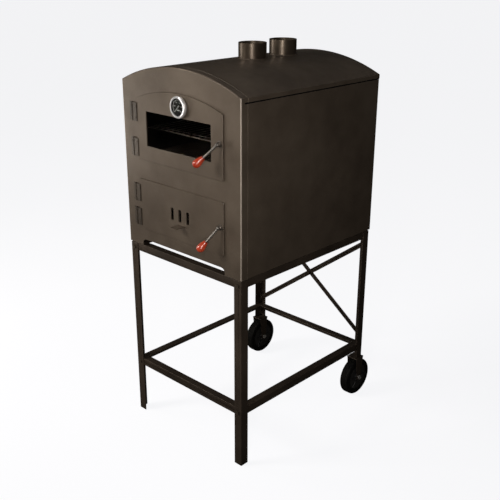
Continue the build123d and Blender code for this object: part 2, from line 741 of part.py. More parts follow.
for door in ("upper", "lower"):
    z = latch_z[door]
    lean = radians(lever_lean[door])
    across = Vector(-sin(lean), 0, -cos(lean))
    outward = Vector(0, -1, 0)
    lever = (across * lever_across + outward * lever_outward).normalized()
    lever_root = Vector(latch_x, lever_start_y, z)
    grip_root = lever_root + lever * lever_rod_length
    rod_end = grip_root + lever * lever_rod_in_grip
    with BuildPart() as latch:
        rod((latch_x, tongue_back_y, z), (latch_x, lever_start_y, z), latch_shaft_radius)
        rod((latch_x, door_front_y, z), (latch_x, washer_front_y, z), latch_washer_radius)
        rod((latch_x, washer_front_y, z), (latch_x, lever_start_y, z), latch_sleeve_radius)
        rod(tuple(lever_root), tuple(rod_end), lever_rod_radius)
        with Locations(tuple(lever_root)):
            Sphere(latch_sleeve_radius)
        block((latch_x - tongue_width / 2, latch_x + tongue_width / 2), (tongue_front_y, tongue_back_y),
              (z - tongue_length, z + tongue_heel))
    finish(latch, f"{door}_latch")

    ball_from_root = grip_length - grip_radius
    slope = (grip_radius - grip_neck_radius) / ball_from_root
    radial = lever.cross(outward).normalized()
    grip_plane = Plane(origin=tuple(grip_root), x_dir=tuple(radial), z_dir=tuple(radial.cross(lever)))
    with BuildPart() as grip:
        with BuildSketch(grip_plane) as grip_half:
            with BuildLine() as grip_outline:
                Line((0, 0), (grip_neck_radius, 0))
                Spline((grip_neck_radius, 0), (grip_radius, ball_from_root),
                       tangents=((slope, 1), (0, 1)))
                CenterArc((0, ball_from_root), grip_radius, 0, 90)
                Line((0, grip_length), (0, 0))
            make_face(grip_outline.edges())
        revolve(grip_half.sketch, axis=Axis(tuple(grip_root), tuple(lever)))
        rod(tuple(grip_root), tuple(rod_end), lever_rod_radius, Mode.SUBTRACT)
    finish(grip, f"{door}_grip")

# ---------------------------------------------------------------- lower door, with vents and a shutter
vent_z = lower_door_z + vent_height
vent_xs = [(index - (vent_count - 1) / 2) * vent_pitch for index in range(vent_count)]
tab_z = vent_z - vent_length / 2 - tab_drop
tab_low_x = tab_x - tab_width / 2
tab_high_x = tab_x + tab_width / 2
tab_low_z = tab_z - tab_thick / 2
tab_high_z = tab_z + tab_thick / 2
shutter_front_y = door_back_y + shutter_play
shutter_back_y = shutter_front_y + shutter_thick
shutter_half = vent_xs[-1] + vent_width / 2 + shutter_margin
shutter_low_z = tab_z - shutter_margin
shutter_high_z = vent_z + vent_length / 2 + shutter_margin
guide_half = shutter_half + shutter_travel
guide_lip_y = shutter_back_y + shutter_play


def cut_vents(y_span):
    """Cut the row of vents through a plate."""
    with BuildSketch(upright(y_span[0])) as vents:
        with Locations([(x, vent_z) for x in vent_xs]):
            RectangleRounded(vent_width, vent_length, vent_corner)
    extrude(vents.sketch, amount=y_span[0] - y_span[1], mode=Mode.SUBTRACT)


with BuildPart() as lower_door_panel:
    extrude(door_outline("lower", 0, door_front_y), amount=-door_thick)
    chamfer(lower_door_panel.faces().sort_by(Axis.Y)[0].edges(), door_edge_chamfer)
    cut_vents((door_front_y, door_back_y))
    latch_hole("lower")
    block((tab_low_x - tab_play, tab_high_x + shutter_travel + tab_play), (door_front_y, door_back_y),
          (tab_low_z - tab_play, tab_high_z + tab_play), Mode.SUBTRACT)
finish(lower_door_panel, "lower_door_panel")

with BuildPart() as air_shutter:
    block((-shutter_half - shutter_travel, shutter_half), (shutter_front_y, shutter_back_y),
          (shutter_low_z, shutter_high_z))
    cut_vents((shutter_front_y, shutter_back_y))
    block((tab_low_x, tab_high_x), (shutter_back_y, door_front_y - tab_length), (tab_low_z, tab_high_z))
    tab_corners = air_shutter.edges().filter_by(Axis.Z).group_by(Axis.Y)[0]
    fillet(tab_corners, tab_corner)
finish(air_shutter, "air_shutter")

with BuildPart() as shutter_guides:
    for edge_z, away in ((shutter_low_z, -1), (shutter_high_z, 1)):
        base_z = edge_z + away * shutter_play
        far_z = base_z + away * shutter_guide_width
        block((-guide_half, guide_half), (door_back_y, guide_lip_y), (base_z, far_z))
        block((-guide_half, guide_half), (guide_lip_y, guide_lip_y + shutter_thick),
              (edge_z - away * shutter_guide_lap, far_z))
finish(shutter_guides, "shutter_guides")

# ---------------------------------------------------------------- stand legs
fork_plate_low_z = wheel_diameter + fork_clearance
rear_leg_low_z = fork_plate_low_z + fork_plate_thick
rail_face_x = stand_half - leg_thick
rail_front_y = stand_front_y + leg_thick
rail_back_y = stand_back_y - leg_thick
leg_bolt_x = stand_half - bolt_inset
brace_gap_z = rail_size + brace_rail_gap
brace_low_z = lower_rail_height + brace_rail_gap
brace_high_z = stand_height - brace_gap_z
rail_bolt_zs = (stand_height - rail_size / 2 - rail_thick, lower_rail_height - rail_size / 2)


def leg_holes(x, y_span, heights):
    """Bore bolt holes through a leg's front or rear flange."""
    for z in heights:
        rod((x, y_span[0], z), (x, y_span[1], z), bolt_radius, Mode.SUBTRACT)


for side, side_name in ((-1, "left"), (1, "right")):
    for end, end_name in ((stand_front_y, "front"), (stand_back_y, "rear")):
        inward = 1 if end_name == "front" else -1
        low_z = 0 if end_name == "front" else rear_leg_low_z
        heights = rail_bolt_zs if end_name == "front" else rail_bolt_zs + (brace_low_z, brace_high_z)
        with BuildPart() as leg:
            block((side * (stand_half - leg_size), side * stand_half), (end, end + inward * leg_thick),
                  (low_z, stand_height))
            block((side * (stand_half - leg_thick), side * stand_half), (end, end + inward * leg_size),
                  (low_z, stand_height))
            leg_holes(side * leg_bolt_x, (end, end + inward * leg_thick), heights)
        finish(leg, f"stand_leg_{end_name}_{side_name}")

# ---------------------------------------------------------------- stand rails
for level, top_z, bolt_z in (("top", stand_height, rail_bolt_zs[0]),
                             ("lower", lower_rail_height, rail_bolt_zs[1])):
    low_z = top_z - rail_size
    with BuildPart() as cross_rails:
        for face, inward in ((rail_front_y, 1), (rail_back_y, -1)):
            block((-rail_face_x, rail_face_x), (face, face + inward * rail_thick), (low_z, top_z))
            block((-rail_face_x, rail_face_x), (face, face + inward * rail_size), (top_z - rail_thick, top_z))
            for side in (-1, 1):
                leg_holes(side * leg_bolt_x, (face, face + inward * rail_thick), [bolt_z])
    finish(cross_rails, f"{level}_rails_cross")

    with BuildPart() as side_rails:
        for side in (-1, 1):
            block((side * (rail_face_x - rail_thick), side * rail_face_x),
                  (rail_front_y + rail_thick, rail_back_y - rail_thick), (low_z, top_z - rail_thick))
            block((side * (rail_face_x - rail_size), side * rail_face_x),
                  (rail_front_y + rail_size, rail_back_y - rail_size), (top_z - rail_thick, top_z))
    finish(side_rails, f"{level}_rails_side")

# ---------------------------------------------------------------- runners between the stand and the casing
with BuildPart() as casing_runners:
    for side in (-1, 1):
        runner_x = side * (rail_face_x - runner_inset)
        block((runner_x - side * runner_width, runner_x), (rail_front_y + rail_size, rail_back_y - rail_size),
              (stand_height, casing_z))
finish(casing_runners, "casing_runners")

# ---------------------------------------------------------------- crossed braces behind the stand
brace_run = 2 * leg_bolt_x
brace_rise = brace_high_z - brace_low_z
brace_middle_z = (brace_high_z + brace_low_z) / 2
brace_angle = Vector(1, 0, 0).get_angle(Vector(brace_run, 0, brace_rise))
brace_inner_y = stand_back_y - leg_thick - brace_thick
brace_outer_y = stand_back_y
brace_bolt_span = sqrt(brace_run**2 + brace_rise**2)

with BuildPart() as cross_braces:
    for lean, y in ((1, brace_inner_y), (-1, brace_outer_y)):
        with BuildSketch(upright(y)) as brace_face:
            with Locations(Location((0, brace_middle_z, 0), lean * brace_angle)):
                SlotCenterToCenter(brace_bolt_span, brace_width)
                with GridLocations(brace_bolt_span / 2, 0, 3, 1):
                    Circle(bolt_radius, mode=Mode.SUBTRACT)
        extrude(brace_face.sketch, amount=-brace_thick)
finish(cross_braces, "cross_braces")

# ---------------------------------------------------------------- bolts and nuts of the stand
# Each joint is its x and z, the faces under the bolt's head and under the nut, and which way the head points.
bolted_joints = []
for side in (-1, 1):
    for z in rail_bolt_zs:
        bolted_joints.append((side * leg_bolt_x, z, stand_front_y, rail_front_y + rail_thick, -1))
        bolted_joints.append((side * leg_bolt_x, z, stand_back_y, rail_back_y - rail_thick, 1))
for x, z in ((-leg_bolt_x, brace_low_z), (leg_bolt_x, brace_high_z)):
    bolted_joints.append((x, z, stand_back_y, brace_inner_y, 1))
for x, z in ((leg_bolt_x, brace_low_z), (-leg_bolt_x, brace_high_z)):
    bolted_joints.append((x, z, brace_outer_y + brace_thick, stand_back_y - leg_thick, 1))
bolted_joints.append((0, brace_middle_z, brace_outer_y + brace_thick, brace_inner_y, 1))

with BuildPart() as stand_bolts:
    for x, z, head_y, nut_y, way in bolted_joints:
        rod((x, head_y, z), (x, nut_y - way * (nut_thick + bolt_tail), z), bolt_radius)
        hexagon_bar((x, head_y, z), (x, head_y + way * bolt_head_thick, z), bolt_head_flats)
finish(stand_bolts, "stand_bolts")

with BuildPart() as stand_nuts:
    for x, z, head_y, nut_y, way in bolted_joints:
        hexagon_bar((x, nut_y, z), (x, nut_y - way * nut_thick, z), bolt_head_flats, bolt_radius)
finish(stand_nuts, "stand_nuts")

with BuildPart() as brace_spacer:
    spacer_start = (0, brace_inner_y + brace_thick, brace_middle_z)
    spacer_end = (0, brace_outer_y, brace_middle_z)
    rod(spacer_start, spacer_end, brace_spacer_radius)
    rod(spacer_start, spacer_end, bolt_radius, Mode.SUBTRACT)
finish(brace_spacer, "brace_spacer")

# ---------------------------------------------------------------- rear wheels in fixed forks
wheel_y = back_y - leg_centre_from_back
wheel_x = stand_half - leg_size / 2
wheel_radius = wheel_diameter / 2
fork_inner = wheel_width / 2 + fork_side_gap
fork_outer = fork_inner + fork_thick

with BuildPart() as caster_forks:
    for side in (-1, 1):
        block((side * wheel_x - fork_outer, side * wheel_x + fork_outer),
              (wheel_y - fork_plate_length / 2, wheel_y + fork_plate_length / 2),
              (fork_plate_low_z, rear_leg_low_z))
        for x in (side * wheel_x - fork_outer, side * wheel_x + fork_inner):
            with BuildSketch(Plane.YZ.offset(x)) as fork_side:
                with BuildLine() as fork_outline:
                    foot = CenterArc((wheel_y, wheel_radius), fork_end_radius, 180, 180)
                    Polyline(foot @ 1, (wheel_y + fork_top_length / 2, fork_plate_low_z),
                             (wheel_y - fork_top_length / 2, fork_plate_low_z), foot @ 0)
                make_face(fork_outline.edges())
                with Locations((wheel_y, wheel_radius)):
                    Circle(axle_radius, mode=Mode.SUBTRACT)
            extrude(fork_side.sketch, amount=fork_thick)
finish(caster_forks, "caster_forks")

with BuildPart() as wheel_axles:
    for side in (-1, 1):
        outer = side * (wheel_x + fork_outer)
        inner = side * (wheel_x - fork_outer)
        nut_x = inner - side * nut_thick
        rod((outer, wheel_y, wheel_radius), (nut_x - side * bolt_tail, wheel_y, wheel_radius), axle_radius)
        hexagon_bar((outer, wheel_y, wheel_radius), (outer + side * axle_head_thick, wheel_y, wheel_radius),
                    axle_head_flats)
        hexagon_bar((inner, wheel_y, wheel_radius), (nut_x, wheel_y, wheel_radius), axle_head_flats)
finish(wheel_axles, "wheel_axles")

rim_radius = wheel_radius - tyre_thick
hub_half = fork_inner - hub_side_play
for side, side_name in ((-1, "left"), (1, "right")):
    centre_x = side * wheel_x
    tyre_start = (centre_x - wheel_width / 2, wheel_y, wheel_radius)
    tyre_end = (centre_x + wheel_width / 2, wheel_y, wheel_radius)
    with BuildPart() as tyre:
        rod(tyre_start, tyre_end, wheel_radius)
        fillet(tyre.edges().filter_by(GeomType.CIRCLE), tyre_shoulder)
        rod(tyre_start, tyre_end, rim_radius, Mode.SUBTRACT)
    finish(tyre, f"wheel_tyre_{side_name}")

    with BuildPart() as hub:
        rod((centre_x - wheel_width / 2 + hub_dish, wheel_y, wheel_radius),
            (centre_x + wheel_width / 2 - hub_dish, wheel_y, wheel_radius), rim_radius)
        rod((centre_x - hub_half, wheel_y, wheel_radius), (centre_x + hub_half, wheel_y, wheel_radius),
            hub_boss_radius)
        rod((centre_x - hub_half, wheel_y, wheel_radius), (centre_x + hub_half, wheel_y, wheel_radius),
            axle_radius + running_clearance, Mode.SUBTRACT)
    finish(hub, f"wheel_hub_{side_name}")
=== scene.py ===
import json
import math

import bmesh
import bpy
from mathutils import Matrix, Vector


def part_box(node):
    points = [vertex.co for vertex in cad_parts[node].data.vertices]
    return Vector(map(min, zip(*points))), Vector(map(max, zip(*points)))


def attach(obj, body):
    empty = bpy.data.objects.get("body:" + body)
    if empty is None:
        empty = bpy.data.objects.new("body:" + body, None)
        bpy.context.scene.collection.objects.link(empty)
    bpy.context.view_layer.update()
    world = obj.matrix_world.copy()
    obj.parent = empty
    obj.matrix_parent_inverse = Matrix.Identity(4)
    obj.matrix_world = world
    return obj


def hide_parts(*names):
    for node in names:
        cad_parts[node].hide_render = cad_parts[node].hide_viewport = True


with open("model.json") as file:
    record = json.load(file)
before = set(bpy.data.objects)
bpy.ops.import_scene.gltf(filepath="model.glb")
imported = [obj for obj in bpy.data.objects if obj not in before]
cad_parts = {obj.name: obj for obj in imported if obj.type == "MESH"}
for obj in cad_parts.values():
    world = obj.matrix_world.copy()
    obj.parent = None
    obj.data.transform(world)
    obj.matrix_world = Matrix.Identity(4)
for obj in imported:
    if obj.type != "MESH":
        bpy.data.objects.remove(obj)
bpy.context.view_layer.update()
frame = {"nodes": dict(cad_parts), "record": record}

nodes = frame["nodes"]
MM = 0.001

# ---------------------------------------------------------------- camera and light: driving values
camera_azimuth = 43.385
camera_elevation = 20.932
camera_roll = 0.208
camera_distance = 3.0427
camera_lens = 55.97
look_at_from_plate = Vector((0.0400, 0.3182, -0.0410))  # from the foot of the front plate's middle

warm_light = (1.0, 0.95, 0.89)
fill_light = (1.0, 0.96, 0.92)
white_light = (1.0, 1.0, 1.0)
lamps = (  # name, place, target, width and height, watts, colour, spread in degrees
    ("key", (-2.2, -3.4, 2.9), (-0.1, -0.3, 1.0), (1.2, 1.2), 84, warm_light, 180),
    ("left", (-2.3, -1.35, 0.9), (-0.2, -0.35, 1.0), (1.0, 1.0), 12, warm_light, 180),
    ("fill", (1.5, -1.9, 1.6), (0.3, -0.4, 1.15), (0.35, 1.4), 4.6, fill_light, 60),
    ("top", (0.0, 0.4, 4.0), (0.0, 0.2, 0.0), (3.0, 3.0), 8, white_light, 180),
)
sky_colour = (1.0, 0.97, 0.94, 1.0)
sky_strength = 0.02
backdrop_colour = (0.905, 0.907, 0.922, 1.0)
floor_half = 30.0
floor_dark = (0.21, 0.21, 0.213)
floor_light = (0.23, 0.23, 0.233)
floor_glow = (0.885, 0.887, 0.903, 1.0)
floor_bounce = (0.13, 0.12, 0.11, 1.0)


# ---------------------------------------------------------------- node-tree helpers
class Shader:
    """A material's node tree, with short names for what the materials below are built from."""

    def __init__(self, name):
        self.material = bpy.data.materials.new(name)
        self.material.use_nodes = True
        self.nodes = self.material.node_tree.nodes
        self.links = self.material.node_tree.links
        self.principled = self.nodes["Principled BSDF"]
        self.coordinates = self.nodes.new("ShaderNodeTexCoord").outputs["Object"]

    def set(self, **values):
        """Set sockets of the principled shader by name, with underscores for spaces."""
        for name, value in values.items():
            self.principled.inputs[name.replace("_", " ")].default_value = value
        return self

    def stretched(self, x, y, z):
        """Object coordinates, scaled differently along each axis."""
        mapping = self.nodes.new("ShaderNodeMapping")
        mapping.inputs["Scale"].default_value = (x, y, z)
        self.links.new(self.coordinates, mapping.inputs["Vector"])
        return mapping.outputs["Vector"]

    def noise(self, scale, detail=3.0, roughness=0.55, vector=None):
        """Fractal noise; scale is in cycles per metre."""
        noise = self.nodes.new("ShaderNodeTexNoise")
        noise.inputs["Scale"].default_value = scale
        noise.inputs["Detail"].default_value = detail
        noise.inputs["Roughness"].default_value = roughness
        self.links.new(vector or self.coordinates, noise.inputs["Vector"])
        return noise.outputs["Fac"]

    def wave(self, scale, direction, distortion):
        """Sine bands across one axis."""
        wave = self.nodes.new("ShaderNodeTexWave")
        wave.bands_direction = direction
        wave.inputs["Scale"].default_value = scale
        wave.inputs["Distortion"].default_value = distortion
        self.links.new(self.coordinates, wave.inputs["Vector"])
        return wave.outputs["Fac"]

    def ramp(self, factor, stops):
        """Colours at positions along a factor."""
        ramp = self.nodes.new("ShaderNodeValToRGB")
        elements = ramp.color_ramp.elements
        while len(elements) < len(stops):
            elements.new(0.5)
        for element, (position, colour) in zip(elements, stops):
            element.position = position
            element.color = (*colour, 1.0)
        self.links.new(factor, ramp.inputs["Fac"])
        return ramp.outputs["Color"]

    def range(self, factor, low, high, out_low, out_high):
        """A factor stretched from one range to another, and clamped to it."""
        node = self.nodes.new("ShaderNodeMapRange")
        for name, value in (("From Min", low), ("From Max", high), ("To Min", out_low), ("To Max", out_high)):
            node.inputs[name].default_value = value
        self.links.new(factor, node.inputs["Value"])
        return node.outputs["Result"]

    def mix(self, factor, first, second):
        """Mix two colours, each a colour or a socket, by a factor socket."""
        node = self.nodes.new("ShaderNodeMix")
        node.data_type = "RGBA"
        for socket, value in ((node.inputs[0], factor), (node.inputs[6], first), (node.inputs[7], second)):
            if isinstance(value, bpy.types.NodeSocket):
                self.links.new(value, socket)
            else:
                socket.default_value = (*value, 1.0)
        return node.outputs[2]

    def math(self, operation, first, second=None):
        """One arithmetic step between sockets or numbers."""
        node = self.nodes.new("ShaderNodeMath")
        node.operation = operation
        for socket, value in zip(node.inputs, (first, second)):
            if isinstance(value, bpy.types.NodeSocket):
                self.links.new(value, socket)
            elif value is not None:
                socket.default_value = value
        return node.outputs["Value"]

    def edges(self, radius, sharp=0.6):
        """1 along the object's sharp edges and 0 on its flats."""
        bevel = self.nodes.new("ShaderNodeBevel")
        bevel.inputs["Radius"].default_value = radius
        bevel.samples = 6
        geometry = self.nodes.new("ShaderNodeNewGeometry")
        product = self.nodes.new("ShaderNodeVectorMath")
        product.operation = "DOT_PRODUCT"
        self.links.new(bevel.outputs["Normal"], product.inputs[0])
        self.links.new(geometry.outputs["Normal"], product.inputs[1])
        return self.range(product.outputs["Value"], 1.0, sharp, 0.0, 1.0)

    def distance_from(self, x, y):
        """Distance in metres from an upright line at x and y, or from its mirror image at -x if nearer."""
        parts = self.nodes.new("ShaderNodeSeparateXYZ")
        self.links.new(self.coordinates, parts.inputs[0])
        across = self.math("SUBTRACT", self.math("ABSOLUTE", parts.outputs["X"]), x)
        along = self.math("SUBTRACT", parts.outputs["Y"], y)
        square = self.math("ADD", self.math("MULTIPLY", across, across), self.math("MULTIPLY", along, along))
        return self.math("SQRT", square)

    def colour(self, value):
        """Link a colour to the principled shader."""
        self.links.new(value, self.principled.inputs["Base Color"])
        return self

    def roughness(self, value):
        """Link a roughness to the principled shader."""
        self.links.new(value, self.principled.inputs["Roughness"])
        return self

    def bump(self, *layers):
        """Stack bumps, each a height, its depth in metres and its strength."""
        normal = None
        for height, depth, strength in layers:
            bump = self.nodes.new("ShaderNodeBump")
            bump.inputs["Distance"].default_value = depth
            bump.inputs["Strength"].default_value = strength
            self.links.new(height, bump.inputs["Height"])
            if normal:
                self.links.new(normal, bump.inputs["Normal"])
            normal = bump.outputs["Normal"]
        self.links.new(normal, self.principled.inputs["Normal"])
        return self


# ---------------------------------------------------------------- materials
def painted_steel(name, base, light, dark, edge_wear_and_painted_light, metallic=0.5, rough=(0.42, 0.54), edge_radius=1.5 * MM,
                  highlight_bend=None, sparkle_share=0.35):
    """Satin heat-proof paint over sheet steel: cloudy tone, fine orange peel, faint rub marks, and its edges
    in the edge colour: wear, painted shade or a painted highlight, as each caller chooses.

    The bend is an upright line, at x and y, along which the folded sheet gets a painted highlight in the edge
    colour.
    """
    s = Shader(name).set(Metallic=metallic, Coat_Weight=0.12, Coat_Roughness=0.16)
    cloud = s.noise(5.0, 4.0)
    tone = s.ramp(cloud, ((0.32, dark), (0.5, base), (0.70, light)))
    flakes = s.noise(900.0, 1.0)
    sparkle = s.range(flakes, 0.62, 0.78, 0.0, sparkle_share)
    toned = s.mix(sparkle, tone, edge_wear_and_painted_light)
    streaks = s.noise(14.0, 5.0, 0.6, s.stretched(1.0, 1.0, 0.16))
    rubbed = s.mix(s.range(streaks, 0.58, 0.78, 0.0, 0.22), toned, light)
    # the edge mask lays the edge colour along sharp edges: worn paint on most parts, painted shade on the
    # doors and hinges, a painted highlight on the front plate
    edge = s.math("MULTIPLY", s.edges(edge_radius), s.range(s.noise(60.0, 3.0), 0.30, 0.62, 0.25, 0.85))
    # the bend adds a painted highlight in the edge colour along the front plate's folded bends
    if highlight_bend:
        edge = s.math("MAXIMUM", edge, s.range(s.distance_from(*highlight_bend), 4.6 * MM, 2.8 * MM, 0.0, 1.0))
    s.colour(s.mix(edge, rubbed, edge_wear_and_painted_light))
    s.roughness(s.range(s.noise(22.0, 4.0), 0.3, 0.7, rough[0], rough[1]))
    return s.bump((s.noise(420.0, 2.0), 0.12 * MM, 0.35), (s.noise(9.0, 2.0), 1.2 * MM, 0.10)).material


def bare_steel(name, base, tint, rough=(0.3, 0.5)):
    """Rolled or heat-tinted steel with a drawn grain."""
    s = Shader(name).set(Metallic=1.0)
    grained = s.noise(30.0, 5.0, 0.6, s.stretched(4.0, 60.0, 60.0))
    stains = s.noise(7.0, 4.0)
    s.colour(s.mix(s.range(stains, 0.42, 0.68, 0.0, 0.8), base, tint))
    s.roughness(s.range(grained, 0.3, 0.7, rough[0], rough[1]))
    return s.bump((grained, 0.05 * MM, 0.4)).material


def plated(name, colour, rough, metallic=1.0):
    """Bright plating, with faint wipe marks."""
    s = Shader(name).set(Metallic=metallic)
    wiped = tuple(0.8 * channel for channel in colour)
    s.colour(s.mix(s.range(s.noise(40.0, 3.0), 0.4, 0.7, 0.0, 0.25), colour, wiped))
    s.roughness(s.range(s.noise(70.0, 4.0), 0.3, 0.7, rough * 0.7, rough * 1.4))
    return s.bump((s.noise(250.0, 2.0), 0.02 * MM, 0.3)).material


def cast_iron():
    """Sooty sand-cast iron, with a coarse skin and rust in its hollows."""
    s = Shader("grate_iron").set(Metallic=0.6)
    rust = s.range(s.noise(28.0, 5.0), 0.52, 0.72, 0.0, 0.7)
    s.colour(s.mix(rust, (0.030, 0.029, 0.028), (0.10, 0.045, 0.022)))
    s.roughness(s.range(s.noise(90.0, 3.0), 0.3, 0.7, 0.62, 0.85))
    return s.bump((s.noise(380.0, 4.0), 0.5 * MM, 0.6)).material


def cordierite():
    """Pale fired baking stone: pores, dark specks and toasted patches."""
    s = Shader("hearth_stone").set(Roughness=0.9)
    specks = s.range(s.noise(520.0, 2.0), 0.60, 0.70, 0.0, 0.6)
    body = s.ramp(s.noise(12.0, 4.0), ((0.35, (0.36, 0.29, 0.21)), (0.65, (0.55, 0.47, 0.37))))
    toasted = s.mix(s.range(s.noise(3.5, 3.0), 0.52, 0.75, 0.0, 0.6), body, (0.16, 0.11, 0.07))
    s.colour(s.mix(specks, toasted, (0.12, 0.09, 0.07)))
    return s.bump((s.noise(700.0, 3.0), 0.3 * MM, 0.6)).material


def mineral_wool():
    """Matted yellow-brown fibres."""
    s = Shader("insulation").set(Roughness=1.0)
    fibres = s.noise(260.0, 5.0, 0.7, s.stretched(1.0, 0.25, 1.0))
    s.colour(s.ramp(fibres, ((0.3, (0.30, 0.23, 0.11)), (0.7, (0.66, 0.56, 0.34)))))
    return s.bump((fibres, 1.5 * MM, 0.8)).material


def braided_fibre():
    """Black glass-fibre braid."""
    s = Shader("gasket").set(Roughness=0.85, Sheen_Weight=0.3)
    strands = s.wave(260.0, "DIAGONAL", 0.6)
    fuzz = s.noise(1400.0, 3.0)
    fibres = s.math("MULTIPLY", strands, fuzz)
    s.colour(s.ramp(fibres, ((0.1, (0.010, 0.010, 0.010)), (0.6, (0.060, 0.058, 0.055)))))
    return s.bump((strands, 0.6 * MM, 0.8), (fuzz, 0.2 * MM, 0.5)).material


def heat_glass():
    """Dark ceramic oven glass, with a faint film of smoke."""
    s = Shader("window_glass")
    s.set(Base_Color=(0.42, 0.40, 0.37, 1.0), IOR=1.5, Transmission_Weight=1.0)
    return s.roughness(s.range(s.noise(16.0, 4.0), 0.35, 0.75, 0.0, 0.05)).material


def clear_glass():
    """The thermometer's lens."""
    s = Shader("gauge_lens").set(Base_Color=(0.97, 0.98, 0.98, 1.0), IOR=1.45, Transmission_Weight=1.0)
    return s.roughness(s.range(s.noise(50.0, 3.0), 0.3, 0.7, 0.0, 0.03)).material


def grip_gloss():
    """Red-orange lacquered grip: slightly uneven colour under a clear coat."""
    s = Shader("grip_red").set(Coat_Weight=0.8, Coat_Roughness=0.06, Subsurface_Weight=0.05)
    s.set(Subsurface_Radius=(0.004, 0.0015, 0.001))
    tone = s.noise(60.0, 3.0, 0.5, s.stretched(1.0, 1.0, 0.35))
    s.colour(s.ramp(tone, ((0.3, (0.36, 0.030, 0.012)), (0.55, (0.52, 0.060, 0.022)),
                           (0.75, (0.62, 0.10, 0.035)))))
    s.roughness(s.range(s.noise(120.0, 3.0), 0.3, 0.7, 0.22, 0.36))
    return s.bump((s.noise(200.0, 2.0), 0.06 * MM, 0.3)).material


def tyre_rubber():
    """Dull black rubber with dust in its skin."""
    s = Shader("tyre").set(Specular_IOR_Level=0.15)
    s.colour(s.ramp(s.noise(45.0, 5.0), ((0.35, (0.003, 0.003, 0.003)), (0.75, (0.010, 0.009, 0.007)))))
    s.roughness(s.range(s.noise(90.0, 4.0), 0.3, 0.7, 0.62, 0.85))
    return s.bump((s.noise(650.0, 3.0), 0.15 * MM, 0.5)).material


def moulded_black(name, tone=0.016, rough=(0.38, 0.55)):
    """Black moulded plastic with a fine spark-eroded grain."""
    s = Shader(name)
    lighter = (tone * 1.9, tone * 1.85, tone * 1.8)
    s.colour(s.ramp(s.noise(30.0, 4.0), ((0.3, (tone, tone, tone)), (0.7, lighter))))
    s.roughness(s.range(s.noise(80.0, 3.0), 0.3, 0.7, rough[0], rough[1]))
    return s.bump((s.noise(1300.0, 2.0), 0.05 * MM, 0.5)).material


def painted_lip_shadow():
    """Dull black and faintly lumpy: painted shade for the shadow under the roof lip."""
    s = Shader("lip_shadow_black").set(Roughness=1.0, Specular_IOR_Level=0.05)
    s.colour(s.ramp(s.noise(60.0, 3.0), ((0.3, (0.002, 0.002, 0.002)), (0.7, (0.006, 0.005, 0.005)))))
    return s.bump((s.noise(150.0, 3.0), 0.3 * MM, 0.5)).material


def white_ink():
    """Screen-printed white on the dial."""
    s = Shader("dial_print").set(Roughness=0.45)
    s.colour(s.ramp(s.noise(900.0, 2.0), ((0.3, (0.74, 0.74, 0.72)), (0.7, (0.88, 0.88, 0.86)))))
    return s.bump((s.noise(2000.0, 1.0), 0.01 * MM, 0.2)).material


body_light = (0.150, 0.118, 0.088)
body_base = (0.118, 0.091, 0.067)
body_dark = (0.092, 0.070, 0.051)
body_worn = (0.21, 0.17, 0.135)

slot_materials = {
    "body_paint": painted_steel("body_paint", body_base, body_light, body_dark, body_worn),
    "stand_paint": painted_steel(
        "stand_paint", (0.062, 0.046, 0.034), (0.088, 0.066, 0.049), (0.042, 0.031, 0.023),
        (0.34, 0.275, 0.215), rough=(0.38, 0.50), edge_radius=2.0 * MM),
    # near-black edge colour: painted shade round the hinge leaves and knuckles, where their gaps fall dark
    "hinge_paint": painted_steel(
        "hinge_paint", (0.085, 0.067, 0.051), (0.125, 0.100, 0.078), (0.036, 0.028, 0.022),
        (0.006, 0.005, 0.004), rough=(0.34, 0.48), edge_radius=4.5 * MM),
    "lever_paint": painted_steel(
        "lever_paint", (0.17, 0.155, 0.14), (0.28, 0.26, 0.235), (0.08, 0.070, 0.06),
        (0.40, 0.37, 0.34), metallic=0.75, rough=(0.30, 0.44), edge_radius=0.6 * MM),
    "inner_steel": bare_steel("inner_steel", (0.10, 0.092, 0.085), (0.045, 0.040, 0.040), (0.42, 0.62)),
    "pan_steel": bare_steel("pan_steel", (0.30, 0.29, 0.28), (0.14, 0.12, 0.10)),
    "grate_iron": cast_iron(),
    "rack_chrome": plated("rack_chrome", (0.85, 0.85, 0.86), 0.34, 0.6),
    "fastener": plated("fastener", (0.42, 0.41, 0.40), 0.32),
    "insulation": mineral_wool(),
    "hearth_stone": cordierite(),
    "gasket": braided_fibre(),
    "window_glass": heat_glass(),
    "gauge_chrome": plated("gauge_chrome", (0.96, 0.96, 0.97), 0.16, 0.62),
    "gauge_dial": moulded_black("gauge_dial", 0.0025, (0.6, 0.75)),
    "gauge_lens": clear_glass(),
    "gauge_needle": white_ink(),
    "grip_red": grip_gloss(),
    "tyre": tyre_rubber(),
    "hub": moulded_black("hub"),
}

# painted highlight along the front plate's two folded edges, and painted shade along the doors' cut edges
plate_low, plate_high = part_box("front_plate")
plate_origin = nodes["front_plate"].matrix_world.translation
highlight_bend_line = (plate_high.x - plate_origin.x, plate_low.y - plate_origin.y)
# the plate's pale edge colour is a painted highlight along its bends and edges
plate_paint = painted_steel(
    "plate_paint", body_base, body_light, body_dark, (0.40, 0.345, 0.29), highlight_bend=highlight_bend_line)
